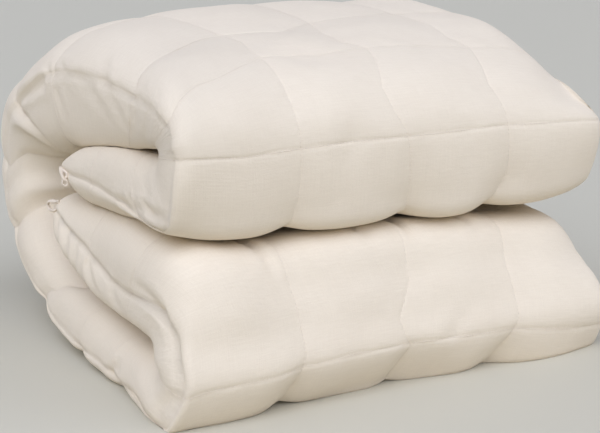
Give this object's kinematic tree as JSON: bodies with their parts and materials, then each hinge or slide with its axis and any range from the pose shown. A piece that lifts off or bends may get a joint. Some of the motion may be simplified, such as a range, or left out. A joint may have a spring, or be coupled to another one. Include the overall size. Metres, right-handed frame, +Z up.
{
  "type": "folded weighted blanket",
  "caption": "Thick cream linen-look weighted blanket, quilted in squares, folded into a stack with a round back bend and tucked-in ends.",
  "frame": {"origin": "middle of the folded blanket's box, on the floor it lies on", "axes": "+Z up, +X to the right seen from the front, -Y towards the front, where the two slabs' rolled edges face"},
  "size_m": [0.5267, 0.5362, 0.3767],
  "materials": {
    "quilt_cloth": "matte slubby plain weave",
    "tape_cloth": "matte woven tape"
  },
  "bodies": {
    "root": {"blanket": "quilt_cloth", "cover_loop_upper": "tape_cloth", "cover_loop_lower": "tape_cloth"}
  },
  "joints": []
}
